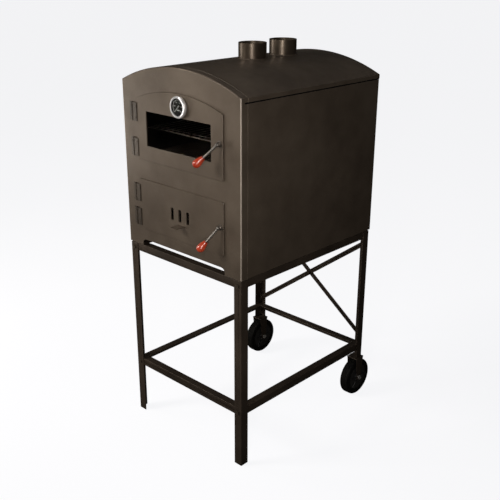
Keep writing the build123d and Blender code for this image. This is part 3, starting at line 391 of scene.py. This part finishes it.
# near-black edge colour: painted shade along the doors' cut edges, where the gap and the door's side fall
# dark
door_paint = painted_steel(
    "door_paint", body_base, body_light, body_dark, (0.012, 0.009, 0.007),
    edge_radius=2.2 * MM, sparkle_share=0.0)
collar_paint = painted_steel(
    "collar_paint", (0.105, 0.081, 0.058), (0.150, 0.118, 0.088), (0.070, 0.052, 0.037), body_worn,
    metallic=0.75, rough=(0.30, 0.40))
axle_zinc = plated("axle_zinc", (0.80, 0.79, 0.76), 0.25, 0.7)
bolt_paint = painted_steel(
    "bolt_paint", (0.085, 0.066, 0.050), (0.13, 0.105, 0.08), (0.050, 0.039, 0.030), (0.40, 0.34, 0.28),
    metallic=0.6, rough=(0.30, 0.44), edge_radius=0.7 * MM)
node_materials = {  # the nodes that don't wear their slot's own finish
    "front_plate": plate_paint,
    "upper_door_panel": door_paint,
    "lower_door_panel": door_paint,
    "flue_collar_front": collar_paint,
    "flue_collar_rear": collar_paint,
    "wheel_axles": axle_zinc,
    "stand_bolts": bolt_paint,
    "stand_nuts": bolt_paint,
}

# ---------------------------------------------------------------- finish the CAD nodes
bevel_widths_mm = {
    "body_paint": 0.5, "stand_paint": 0.8, "hinge_paint": 0.5, "lever_paint": 0.4, "inner_steel": 0.4,
    "pan_steel": 0.3, "grate_iron": 1.2, "fastener": 0.5, "hearth_stone": 0.6, "window_glass": 0.4,
    "hub": 1.0,
}
bevel_angle = 38  # degrees; edges that turn less than this belong to curved faces
weld_distance = 0.005 * MM


def soften(node, width_mm):
    """Round a CAD node's edges a little and shade its curved faces smooth, without touching its mesh."""
    mesh = node.data
    if "custom_normal" in mesh.attributes:
        mesh.attributes.remove(mesh.attributes["custom_normal"])
    mesh.shade_smooth()
    weld = node.modifiers.new("weld", "WELD")
    weld.merge_threshold = weld_distance
    if width_mm:
        bevel = node.modifiers.new("edges", "BEVEL")
        bevel.width = width_mm * MM
        bevel.segments = 2
        bevel.limit_method = "ANGLE"
        bevel.angle_limit = math.radians(bevel_angle)
        bevel.use_clamp_overlap = True
    normals = node.modifiers.new("normals", "WEIGHTED_NORMAL")
    normals.keep_sharp = True


slots = {part["node"]: part["material_slot"] for part in frame["record"]["subparts"]}
for name, node in nodes.items():
    node.data.materials.clear()
    node.data.materials.append(node_materials.get(name, slot_materials[slots[name]]))
    soften(node, bevel_widths_mm.get(slots[name], 0))


# ---------------------------------------------------------------- mesh helpers for the detail pieces
def square_to(axis):
    """A unit axis and two unit directions square to it."""
    axis = Vector(axis).normalized()
    side = axis.orthogonal().normalized()
    return axis, side, axis.cross(side)


def circle(centre, side, up, radius, count, start=0.0):
    """Evenly spaced points on a circle that runs from side toward up."""
    turns = (start + 2 * math.pi * i / count for i in range(count))
    return [centre + (side * math.cos(turn) + up * math.sin(turn)) * radius for turn in turns]


def arc(centre, radius, first, last, steps=48):
    """Points of (x, z) on an arc round centre, between two angles in degrees."""
    turns = [math.radians(first + (last - first) * step / steps) for step in range(steps + 1)]
    return [(centre.x + math.cos(turn) * radius, centre.z + math.sin(turn) * radius) for turn in turns]


class Shape:
    """Vertices and faces gathered from several closed shells, to become one piece."""

    def __init__(self):
        self.vertices = []
        self.faces = []

    def rings(self, rings, closed=False):
        """Skin a row of rings of equal length; capped at both ends unless the row closes on itself."""
        start = len(self.vertices)
        size = len(rings[0])
        for ring in rings:
            self.vertices.extend(Vector(point) for point in ring)
        count = len(rings) if closed else len(rings) - 1
        for i in range(count):
            low = start + i * size
            high = start + ((i + 1) % len(rings)) * size
            for j in range(size):
                k = (j + 1) % size
                self.faces.append((low + j, low + k, high + k, high + j))
        if not closed:
            self.faces.append(tuple(range(start + size - 1, start - 1, -1)))
            last = start + (len(rings) - 1) * size
            self.faces.append(tuple(range(last, last + size)))
        return self

    def lathe(self, centre, axis, profile, steps):
        """Turn a closed profile of (along, radius) points about an axis through centre."""
        axis, side, up = square_to(axis)
        rings = []
        for step in range(steps):
            angle = 2 * math.pi * step / steps
            outward = side * math.cos(angle) + up * math.sin(angle)
            rings.append([Vector(centre) + axis * along + outward * radius for along, radius in profile])
        return self.rings(rings, closed=True)

    def dome(self, centre, axis, radius, height, steps=20, levels=4):
        """A low domed head, such as a rivet's or a pan-head screw's, standing on a face."""
        axis, side, up = square_to(axis)
        rings = []
        for level in range(levels + 1):
            lift = level / (levels + 0.6)  # the last ring stops short of the pole, and is capped flat
            reach = radius * math.sqrt(1 - lift * lift)
            rings.append(circle(Vector(centre) + axis * (height * lift), side, up, reach, steps))
        return self.rings(rings)

    def hexagon(self, centre, axis, radius, height, turn, crown=0.25, crown_reach=0.86):
        """A hexagonal nut or head with a bevelled end, standing on a face."""
        axis, side, up = square_to(axis)
        levels = ((0, radius), (height * (1 - crown), radius), (height, radius * crown_reach))
        return self.rings([circle(Vector(centre) + axis * along, side, up, reach, 6, turn)
                           for along, reach in levels])

    def bead(self, points, radius, sides=8, lump=0.18, pitch=5 * MM):
        """A weld bead round a closed row of points: a tube whose thickness ripples as it was laid."""
        across = Vector((0.31, 0.87, 0.39))  # not along the bead anywhere
        rings = []
        travelled = 0.0
        count = len(points)
        for i, point in enumerate(points):
            before, after = points[i - 1], points[(i + 1) % count]
            run = (after - before).normalized()
            side = run.cross(across).normalized()
            travelled += (point - before).length
            reach = radius * (1 + lump * math.sin(2 * math.pi * travelled / pitch))
            rings.append(circle(point, side, side.cross(run), reach, sides))
        return self.rings(rings, closed=True)

    def slab(self, outline, near, far):
        """A plate between two places along Y, with an outline of (x, z) points."""
        return self.rings([[Vector((x, y, z)) for x, z in outline] for y in (near, far)])

    def piece(self, name, material, body, slot, sharp_angle=35):
        """Make the gathered shells into one piece that rides on a body and wears the given material. The slot
        is not used.
        """
        mesh = bpy.data.meshes.new(name)
        mesh.from_pydata([tuple(v) for v in self.vertices], [], self.faces)
        mesh.materials.append(material)
        fix = bmesh.new()
        fix.from_mesh(mesh)
        bmesh.ops.recalc_face_normals(fix, faces=fix.faces)
        fix.to_mesh(mesh)
        fix.free()
        mesh.shade_smooth()
        mesh.set_sharp_from_angle(angle=math.radians(sharp_angle))
        piece = bpy.data.objects.new(name, mesh)
        bpy.context.scene.collection.objects.link(piece)
        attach(piece, body)
        return piece


# ---------------------------------------------------------------- thermometer: printed scale
def make_dial():
    """White ticks, numbers and a scale arc on the thermometer's dial, and a cap on its pointer."""
    start, sweep, major_count, minor_steps = 225, 270, 6, 5  # angles in degrees, clockwise from the start
    long_tick, short_tick = 4.2 * MM, 2.4 * MM
    long_tick_half, short_tick_half = 0.9 * MM, 0.5 * MM
    number_size, number_inset = 5.6 * MM, 8.0 * MM
    ink = 0.15 * MM
    cap_radius, cap_height = 2.6 * MM, 1.0 * MM

    low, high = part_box("thermometer_dial")
    centre = (low + high) / 2
    face = low.y
    scale_radius = 0.74 * (high.x - low.x) / 2
    shape = Shape()
    tick_count = minor_steps * (major_count - 1)
    for index in range(tick_count + 1):
        angle = math.radians(start - sweep * index / tick_count)
        major = index % minor_steps == 0
        outer, inner = scale_radius, scale_radius - (long_tick if major else short_tick)
        along = Vector((math.cos(angle), math.sin(angle)))
        across = Vector((-along.y, along.x)) * (long_tick_half if major else short_tick_half)
        corners = [along * inner - across, along * outer - across,
                   along * outer + across, along * inner + across]
        shape.slab([(centre.x + c.x, centre.z + c.y) for c in corners], face, face - ink)
    scale_line = (225, -45, scale_radius + 0.9 * MM, 0.5 * MM)
    lower_band = (-52, -128, 0.50 * scale_radius, 4 * MM)
    for first, last, radius, width in (scale_line, lower_band):
        outer = arc(centre, radius, first, last)
        inner = arc(centre, radius - width, first, last)
        for i in range(len(outer) - 1):
            shape.slab([outer[i], outer[i + 1], inner[i + 1], inner[i]], face, face - ink)
    shape.piece("dial_scale", slot_materials["gauge_needle"], "upper_door", "gauge_needle")

    reach = scale_radius - number_inset
    for index in range(major_count):
        angle = math.radians(start - sweep * index / (major_count - 1))
        curve = bpy.data.curves.new(f"dial_number_{index}", "FONT")
        curve.body = str(100 * index)
        curve.size = number_size
        curve.align_x = "CENTER"
        curve.align_y = "CENTER"
        curve.extrude = ink / 2
        maker = bpy.data.objects.new(f"number_maker_{index}", curve)
        bpy.context.scene.collection.objects.link(maker)
        mesh = bpy.data.meshes.new_from_object(maker.evaluated_get(bpy.context.evaluated_depsgraph_get()))
        bpy.data.objects.remove(maker)
        place = Vector((centre.x + math.cos(angle) * reach, face - ink / 2,
                        centre.z + math.sin(angle) * reach))
        mesh.transform(Matrix.Translation(place) @ Matrix.Rotation(math.radians(90), 4, "X"))
        mesh.materials.clear()
        mesh.materials.append(slot_materials["gauge_needle"])
        number = bpy.data.objects.new(f"dial_number_{index}", mesh)
        bpy.context.scene.collection.objects.link(number)
        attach(number, "upper_door")

    needle_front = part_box("thermometer_needle")[0].y
    cap = Shape().dome((centre.x, needle_front, centre.z), (0, -1, 0), cap_radius, cap_height)
    cap.piece("needle_cap", slot_materials["gauge_chrome"], "thermometer_pointer", "gauge_chrome")


# ---------------------------------------------------------------- latches, hinges, welds and painted lip shadows
def make_latch_nuts():
    """The nut that holds each latch against its door."""
    washer_radius, washer_thickness = 11 * MM, 2 * MM
    nut_radius, nut_height, nut_turn = 9.6 * MM, 5.5 * MM, 0.3
    for door in ("upper", "lower"):
        latch_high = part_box(f"{door}_latch")[1]
        panel_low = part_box(f"{door}_door_panel")[0]
        # the washer reaches furthest right and furthest up, so the shaft is one washer radius in from both
        shaft = Vector((latch_high.x - washer_radius, panel_low.y, latch_high.z - washer_radius))
        nut = Shape().hexagon(shaft + Vector((0, -washer_thickness, 0)), (0, -1, 0), nut_radius, nut_height,
                              nut_turn)
        nut.piece(f"{door}_latch_nut", bolt_paint, f"{door}_door_latch", "hinge_paint")


def make_hinge_details():
    """Screw heads on the hinge leaves."""
    leaf_half, leaf_thickness = 33 * MM, 2.5 * MM
    frame_screw_inset, door_screw_inset = 7 * MM, 6.5 * MM
    screw_offset = 20 * MM  # up and down from a leaf's middle
    head_radius, head_height = 3.4 * MM, 1.6 * MM
    frame_low, frame_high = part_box("hinge_frame_leaves")
    frame_screw_x = frame_low.x + frame_screw_inset
    frame_leaf_y = frame_high.y - leaf_thickness
    for door in ("upper", "lower"):
        leaves_low, leaves_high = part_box(f"{door}_hinge_leaves")
        door_screw_x = leaves_high.x - door_screw_inset
        door_leaf_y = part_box(f"{door}_door_panel")[0].y - leaf_thickness
        frame_heads, door_heads = Shape(), Shape()
        for middle_z in (leaves_low.z + leaf_half, leaves_high.z - leaf_half):
            for z in (middle_z - screw_offset, middle_z + screw_offset):
                frame_heads.dome((frame_screw_x, frame_leaf_y, z), (0, -1, 0), head_radius, head_height)
                door_heads.dome((door_screw_x, door_leaf_y, z), (0, -1, 0), head_radius, head_height)
        frame_heads.piece(f"{door}_hinge_frame_screws", bolt_paint, "oven", "hinge_paint")
        door_heads.piece(f"{door}_hinge_door_screws", bolt_paint, f"{door}_door", "hinge_paint")


def make_collar_welds():
    """A weld bead where each flue collar meets the curved roof."""
    bead_radius, bead_steps = 2.2 * MM, 240
    out_from_collar, up_from_roof = 0.8 * MM, 0.6 * MM
    roof_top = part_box("roof_sheet")[1].z
    low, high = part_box("front_plate")
    side_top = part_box("side_panel_right")[1].z
    half = (high.x - low.x) / 2
    rise = high.z - side_top
    roof_radius = (half * half + rise * rise) / (2 * rise)
    for name in ("flue_collar_front", "flue_collar_rear"):
        low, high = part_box(name)
        centre = (low + high) / 2
        radius = (high.x - low.x) / 2 + out_from_collar
        points = []
        for step in range(bead_steps):
            turn = 2 * math.pi * step / bead_steps
            x = centre.x + radius * math.cos(turn)
            drop = roof_radius - math.sqrt(roof_radius ** 2 - x * x)
            points.append(Vector((x, centre.y + radius * math.sin(turn), roof_top - drop + up_from_roof)))
        bead = Shape().bead(points, bead_radius)
        bead.piece(f"{name}_weld", slot_materials["body_paint"], "oven", "body_paint", 60)


def make_lip_shadow_strips():
    """A black bead under each lip of the roof sheet: painted shade for the shadow each lip casts."""
    below_lip = 2.2 * MM
    front_gap, rear_gap = 15 * MM, 1 * MM
    section = ((-0.5 * MM, -2.4 * MM), (0.4 * MM, -2.2 * MM), (1.3 * MM, -0.8 * MM), (1.7 * MM, 2.2 * MM),
               (-0.5 * MM, 2.2 * MM))  # out from the side panel, and up from the bead's middle
    lip_shadow_black = painted_lip_shadow()
    middle_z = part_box("roof_sheet")[0].z - below_lip
    for side, name in ((-1, "left"), (1, "right")):
        panel_low, panel_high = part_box(f"side_panel_{name}")
        face = panel_high.x if side == 1 else panel_low.x
        rings = [[Vector((face + side * out, y, middle_z + up)) for out, up in section]
                 for y in (panel_low.y + front_gap, panel_high.y - rear_gap)]
        Shape().rings(rings).piece(f"roof_lip_shadow_{name}", lip_shadow_black, "oven", "gasket")


# ---------------------------------------------------------------- braided gaskets
def gasket_path(node):
    """The gasket's centre line and its width, from the CAD gasket's own corners."""
    touch = 0.5 * MM        # a corner this near an outer side belongs to it
    corner_margin = 10 * MM
    arched = 15 * MM        # a crown this far above the shoulders is an arch, and a lower one is straight
    arch_steps = 60
    rope_step = 0.8 * MM
    points = [vertex.co for vertex in nodes[node].data.vertices]
    low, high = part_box(node)
    band = min(p.z for p in points if abs(p.x) < high.x - corner_margin and p.z > low.z + touch) - low.z
    half = high.x - band / 2
    foot = low.z + band / 2
    crown = high.z - band / 2
    shoulder = max(p.z for p in points if abs(p.x) > high.x - touch)
    sag = crown - shoulder
    outline = []
    if sag > arched:
        radius = (half * half + sag * sag) / (2 * sag)
        for step in range(arch_steps + 1):
            x = half * (1 - 2 * step / arch_steps)
            outline.append((x, crown - radius + math.sqrt(radius ** 2 - x * x)))
    else:
        outline += [(half, crown), (-half, crown)]
    outline += [(-half, foot), (half, foot)]
    return resample(outline, rope_step), band, low.y, high.y


def resample(outline, step):
    """Evenly spaced points round a closed outline."""
    closed = outline + outline[:1]
    lengths = [math.dist(a, b) for a, b in zip(closed, closed[1:])]
    total = sum(lengths)
    count = int(total / step)
    points = []
    edge, used = 0, 0.0
    for i in range(count):
        along = total * i / count
        while along > used + lengths[edge]:
            used += lengths[edge]
            edge += 1
        share = (along - used) / lengths[edge]
        a, b = closed[edge], closed[edge + 1]
        points.append((a[0] + (b[0] - a[0]) * share, a[1] + (b[1] - a[1]) * share))
    return points


def make_gaskets():
    """A flattened rope of braided fibre behind the edge of each door."""
    rope_sides, rope_share = 16, 0.96  # share of the CAD gasket's width
    strands, strand_depth, strand_twist = 3, 0.07, 0.9  # the twist is in radians per step of the path
    for door in ("upper", "lower"):
        path, band, near, far = gasket_path(f"{door}_door_gasket")
        rings = []
        count = len(path)
        for i in range(count):
            before, after = Vector(path[i - 1]), Vector(path[(i + 1) % count])
            run = (after - before).normalized()
            across = Vector((run.y, -run.x))
            twist = i * strand_twist
            ring = []
            for k in range(rope_sides):
                turn = 2 * math.pi * k / rope_sides
                braid = 1 + strand_depth * math.sin(strands * turn + twist) * math.sin(strands * turn - twist)
                reach = across * (band / 2 * math.cos(turn) * braid * rope_share)
                depth = (near + far) / 2 + (far - near) / 2 * math.sin(turn) * min(1.0, braid)
                ring.append(Vector((path[i][0] + reach.x, depth, path[i][1] + reach.y)))
            rings.append(ring)
        rope = Shape().rings(rings, closed=True)
        piece = rope.piece(f"{door}_gasket_rope", slot_materials["gasket"], f"{door}_door", "gasket", 80)
        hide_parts(f"{door}_door_gasket")


# ---------------------------------------------------------------- wheels
def tyre_profile(half, rim, radius):
    """A tyre's section as (along, radius) points: sunk sidewall rings, round shoulders and three grooves."""
    sidewall = ((0.0, 0.0), (0.0, 4 * MM), (0.9 * MM, 5 * MM), (0.9 * MM, 7 * MM), (0.0, 8 * MM))
    shoulder, shoulder_steps = 9 * MM, 6
    groove_places = (-7.5 * MM, 0.0, 7.5 * MM)
    groove_half, groove_foot_half, groove_deep = 1.3 * MM, 0.78 * MM, 1.8 * MM
    turns = [math.pi / 2 * step / shoulder_steps for step in range(shoulder_steps + 1)]
    rounding = [(shoulder * (1 - math.cos(turn)), shoulder * (1 - math.sin(turn))) for turn in turns]
    profile = [(-half + inward, rim + out) for inward, out in sidewall]
    profile += [(-half + inward, radius - down) for inward, down in rounding]
    for place in groove_places:
        profile += [(place - groove_half, radius), (place - groove_foot_half, radius - groove_deep),
                    (place + groove_foot_half, radius - groove_deep), (place + groove_half, radius)]
    profile += [(half - inward, radius - down) for inward, down in reversed(rounding)]
    profile += [(half - inward, rim + out) for inward, out in reversed(sidewall)]
    return profile


def make_wheels():
    """Grooved tyres in place of the plain ones, and ribs on the hubs."""
    tyre_steps = 96
    rib_count, rib_half, rib_start, rib_rim_gap = 6, 3 * MM, 15.5 * MM, 1.5 * MM
    rib_foot_depth = 4.2 * MM  # in from the tyre's side, to just under the face of the hub
    rib_levels = ((0, 0), (2.6 * MM, 0.3 * MM), (3.4 * MM, 1.1 * MM))  # lift, and inset of the sides
    for side in ("left", "right"):
        low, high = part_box(f"wheel_tyre_{side}")
        centre = (low + high) / 2
        half = (high.x - low.x) / 2
        radius = (high.z - low.z) / 2
        hub_low, hub_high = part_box(f"wheel_hub_{side}")
        rim = (hub_high.z - hub_low.z) / 2
        tyre = Shape().lathe(centre, (1, 0, 0), tyre_profile(half, rim, radius), tyre_steps)
        piece = tyre.piece(f"grooved_tyre_{side}", slot_materials["tyre"], f"wheel_{side}", "tyre", 30)
        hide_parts(f"wheel_tyre_{side}")

        ribs = Shape()
        rib_end = rim - rib_rim_gap
        for face in (-1, 1):
            base = centre.x + face * (half - rib_foot_depth)
            for index in range(rib_count):
                turn = 2 * math.pi * index / rib_count
                along = Vector((0, math.cos(turn), math.sin(turn)))
                across = Vector((0, -math.sin(turn), math.cos(turn)))
                rings = []
                for lift, inset in rib_levels:
                    corners = ((rib_start, -rib_half + inset), (rib_end - inset, -rib_half + inset),
                               (rib_end - inset, rib_half - inset), (rib_start, rib_half - inset))
                    rings.append([Vector((base + face * lift, centre.y, centre.z)) + along * a + across * b
                                  for a, b in corners])
                ribs.rings(rings)
        ribs.piece(f"hub_ribs_{side}", slot_materials["hub"], f"wheel_{side}", "hub", 25)


make_dial()
make_latch_nuts()
make_hinge_details()
make_collar_welds()
make_lip_shadow_strips()
make_gaskets()
make_wheels()


# ---------------------------------------------------------------- stage, light and camera
def camera_switch(tree, unseen, seen):
    """A shader that the camera sees as one closure and every other ray as another."""
    path = tree.nodes.new("ShaderNodeLightPath")
    switch = tree.nodes.new("ShaderNodeMixShader")
    tree.links.new(path.outputs["Is Camera Ray"], switch.inputs["Fac"])
    tree.links.new(unseen, switch.inputs[1])
    tree.links.new(seen, switch.inputs[2])
    return switch.outputs[0]


def floor_material():
    """A pale studio floor that keeps its shadows soft, and throws little light back up."""
    s = Shader("floor").set(Roughness=0.95, Specular_IOR_Level=0.0)
    s.colour(s.ramp(s.noise(0.8, 2.0), ((0.3, floor_dark), (0.7, floor_light))))
    glow = s.nodes.new("ShaderNodeEmission")
    glow.inputs["Color"].default_value = floor_glow
    lit = s.nodes.new("ShaderNodeAddShader")
    s.links.new(s.principled.outputs[0], lit.inputs[0])
    s.links.new(glow.outputs[0], lit.inputs[1])
    dim = s.nodes.new("ShaderNodeBsdfDiffuse")
    dim.inputs["Color"].default_value = floor_bounce
    surface = camera_switch(s.material.node_tree, dim.outputs[0], lit.outputs[0])
    s.links.new(surface, s.nodes["Material Output"].inputs["Surface"])
    return s.material


def make_floor():
    """A wide pale floor."""
    corners = [(x * floor_half, y * floor_half, 0) for x, y in ((-1, -1), (1, -1), (1, 1), (-1, 1))]
    mesh = bpy.data.meshes.new("floor")
    mesh.from_pydata(corners, [], [(0, 1, 2, 3)])
    mesh.materials.append(floor_material())
    floor = bpy.data.objects.new("floor", mesh)
    bpy.context.scene.collection.objects.link(floor)


def make_world():
    """A pale backdrop to the camera, and a dim, even sky to the object."""
    world = bpy.data.worlds.new("world")
    world.use_nodes = True
    tree = world.node_tree
    sky = tree.nodes["Background"]
    sky.inputs["Color"].default_value = sky_colour
    sky.inputs["Strength"].default_value = sky_strength
    backdrop = tree.nodes.new("ShaderNodeBackground")
    backdrop.inputs["Color"].default_value = backdrop_colour
    surface = camera_switch(tree, sky.outputs[0], backdrop.outputs[0])
    tree.links.new(surface, tree.nodes["World Output"].inputs["Surface"])
    bpy.context.scene.world = world


def make_camera():
    """The camera, placed by its angles and distance round a point behind the front plate."""
    plate_low, plate_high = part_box("front_plate")
    target = Vector(((plate_low.x + plate_high.x) / 2, plate_low.y, plate_low.z)) + look_at_from_plate
    azimuth = math.radians(camera_azimuth)
    elevation = math.radians(camera_elevation)
    back = Vector((math.sin(azimuth) * math.cos(elevation), -math.cos(azimuth) * math.cos(elevation),
                   math.sin(elevation)))
    data = bpy.data.cameras.new("camera")
    data.lens = camera_lens
    data.clip_start = 0.05
    data.clip_end = 100.0
    camera = bpy.data.objects.new("camera", data)
    camera.rotation_mode = "QUATERNION"
    camera.location = target + back * camera_distance
    facing = (-back).to_track_quat("-Z", "Y")
    camera.rotation_quaternion = facing @ Matrix.Rotation(math.radians(camera_roll), 3, "Z").to_quaternion()
    bpy.context.scene.collection.objects.link(camera)
    bpy.context.scene.camera = camera


def area_light(name, place, target, size, power, colour, spread):
    """A soft rectangular lamp at place, facing target."""
    data = bpy.data.lights.new(name, "AREA")
    data.shape = "RECTANGLE"
    data.size, data.size_y = size
    data.energy = power
    data.color = colour
    data.spread = math.radians(spread)
    lamp = bpy.data.objects.new(name, data)
    lamp.location = place
    lamp.rotation_euler = (Vector(target) - Vector(place)).to_track_quat("-Z", "Y").to_euler()
    bpy.context.scene.collection.objects.link(lamp)


make_floor()
make_world()
make_camera()
for lamp_values in lamps:
    area_light(*lamp_values)
bpy.context.scene.view_settings.view_transform = "Standard"
